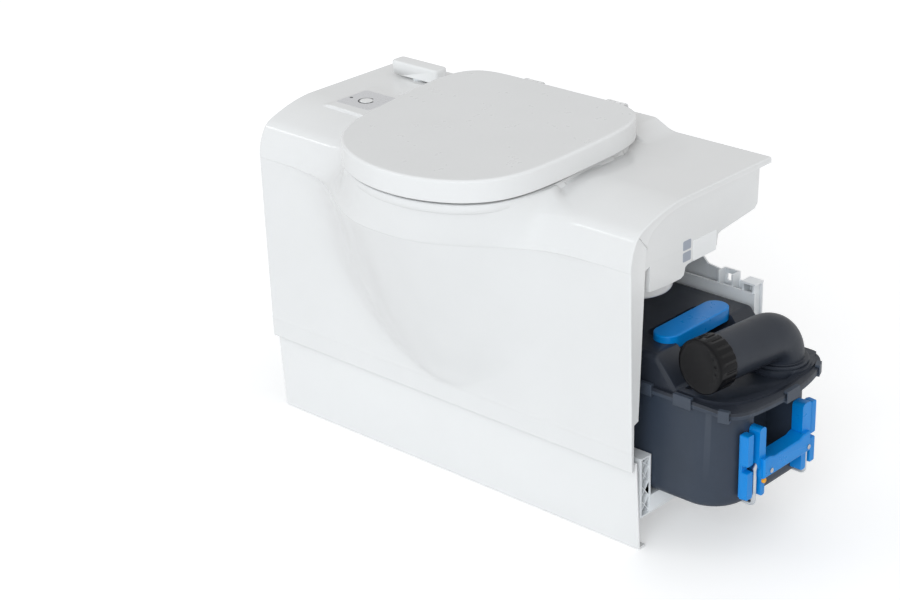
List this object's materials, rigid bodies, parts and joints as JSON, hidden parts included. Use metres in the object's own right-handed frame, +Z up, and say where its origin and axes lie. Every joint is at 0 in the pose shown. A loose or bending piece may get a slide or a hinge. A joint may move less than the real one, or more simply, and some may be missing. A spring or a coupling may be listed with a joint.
{
  "type": "cassette toilet",
  "caption": "Bench style caravan toilet with hinged lid and seat over a bowl, and a dark waste tank drawn part way out of its bay on a sliding trolley.",
  "frame": {"origin": "on the floor, at the centre of the four hole floor bolt pattern under the base tray", "axes": "+X along the bench towards the end the cassette is drawn out of, +Y from the front of the bench to the wall behind it, +Z up"},
  "size_m": [0.8727, 0.4354, 0.5553],
  "materials": {
    "white_moulding": "gloss",
    "lid_moulding": "satin",
    "grey_moulding": "satin",
    "bowl_liner": "gloss",
    "tank": "fine matt grain",
    "black_moulding": "semi gloss",
    "blue_moulding": "semi gloss",
    "orange_moulding": "semi gloss",
    "steel": "bright",
    "galvanised": "dull zinc",
    "seal": "matt",
    "label": "satin film",
    "lens": "clear dark",
    "float_moulding": "matt"
  },
  "bodies": {
    "bench": {"bench_shell": "white_moulding", "plinth_panel": "white_moulding", "base_tray": "grey_moulding", "flush_water_tank": "white_moulding", "flush_pump": "white_moulding", "blank_label": "label", "toilet_bowl": "bowl_liner", "bowl_outlet_ring": "grey_moulding", "bowl_outlet_seal": "seal", "flush_nozzle": "grey_moulding", "flush_hose": "seal", "hinge_brackets": "white_moulding", "hinge_screws": "steel", "hinge_pins": "steel", "control_panel_label": "label", "status_lens": "lens", "button_spring": "steel", "button_housing": "grey_moulding", "handle_bush": "grey_moulding", "drive_rod_guides": "grey_moulding", "shell_screws": "steel"},
    "seat": {"seat": "white_moulding", "seat_buffers": "seal"},
    "lid": {"lid": "lid_moulding", "lid_buffers": "seal"},
    "flush_button": {"flush_button": "white_moulding"},
    "handle": {"blade_handle": "white_moulding", "blade_handle_shaft": "grey_moulding"},
    "drive": {"blade_drive_rod": "steel"},
    "cassette": {"tank_lower": "tank", "tank_upper": "tank", "flange_clips": "tank", "valve_ring": "black_moulding", "valve_lip_seal": "seal", "blade_guides": "black_moulding", "carry_grip": "blue_moulding", "grip_screws": "steel", "side_clips": "blue_moulding", "rod_keepers": "black_moulding", "wheel_axle": "steel", "float_bracket": "black_moulding"},
    "blade": {"slide_blade": "black_moulding"},
    "spout": {"spout_elbow": "tank", "spout_retainer": "black_moulding"},
    "cap": {"spout_cap": "black_moulding", "cap_seal": "seal"},
    "trolley": {"pull_handle": "blue_moulding", "trolley_rods": "galvanised", "handle_screws": "steel"},
    "release": {"release_button": "orange_moulding"},
    "vent": {"vent_button": "blue_moulding"},
    "wheel_a": {"wheel_near": "black_moulding"},
    "wheel_b": {"wheel_far": "black_moulding"},
    "float": {"float_arm": "float_moulding"}
  },
  "joints": [
    {"name": "seat_hinge", "type": "hinge", "parent": "bench", "child": "seat", "pos_m": [0.024, 0.113, 0.5315], "axis": [-1, 0, 0], "range_deg": [0, 92]},
    {"name": "lid_hinge", "type": "hinge", "parent": "seat", "child": "lid", "pos_m": [0.024, 0.113, 0.5315], "axis": [-1, 0, 0], "range_deg": [0, 92]},
    {"name": "flush_button_press", "type": "slide", "parent": "bench", "child": "flush_button", "axis": [0, 0, -1], "range_m": [0, 0.002], "deforming": ["button_spring"]},
    {"name": "blade_handle_turn", "type": "hinge", "parent": "bench", "child": "handle", "pos_m": [-0.27, 0.09, 0.5], "axis": [0, 0, 1], "range_deg": [0, 90]},
    {"name": "drive_rod_slide", "type": "slide", "parent": "bench", "child": "drive", "axis": [1, 0, 0], "range_m": [0, 0.1008]},
    {"name": "cassette_slide", "type": "slide", "parent": "bench", "child": "cassette", "axis": [1, 0, 0], "range_m": [-0.104, 0.45]},
    {"name": "blade_slide", "type": "slide", "parent": "cassette", "child": "blade", "axis": [1, 0, 0], "range_m": [0, 0.1]},
    {"name": "spout_swivel", "type": "hinge", "parent": "cassette", "child": "spout", "pos_m": [0.45, 0.043, 0.25], "axis": [0, 0, 1], "range_deg": [0, 95]},
    {"name": "cap_removal", "type": "slide", "parent": "spout", "child": "cap", "axis": [-0.1045, -0.9945, 0], "range_m": [0, 0.04]},
    {"name": "trolley_pull", "type": "slide", "parent": "cassette", "child": "trolley", "axis": [1, 0, 0], "range_m": [0, 0.26]},
    {"name": "release_press", "type": "slide", "parent": "trolley", "child": "release", "axis": [-1, 0, 0], "range_m": [0, 0.003]},
    {"name": "vent_press", "type": "slide", "parent": "cassette", "child": "vent", "axis": [0, 0, -1], "range_m": [0, 0.003]},
    {"name": "wheel_a_spin", "type": "hinge", "parent": "cassette", "child": "wheel_a", "pos_m": [0.05, -0.11, 0.101], "axis": [0, 1, 0], "continuous": true},
    {"name": "wheel_b_spin", "type": "hinge", "parent": "cassette", "child": "wheel_b", "pos_m": [0.05, 0.094, 0.101], "axis": [0, 1, 0], "continuous": true},
    {"name": "float_swing", "type": "hinge", "parent": "cassette", "child": "float", "pos_m": [0.3, -0.01, 0.2315], "axis": [0, 1, 0], "range_deg": [0, 30]}
  ],
  "couplings": [
    {"joint": "drive_rod_slide", "follows": "blade_handle_turn", "m_per_rad": 0.0639}
  ]
}
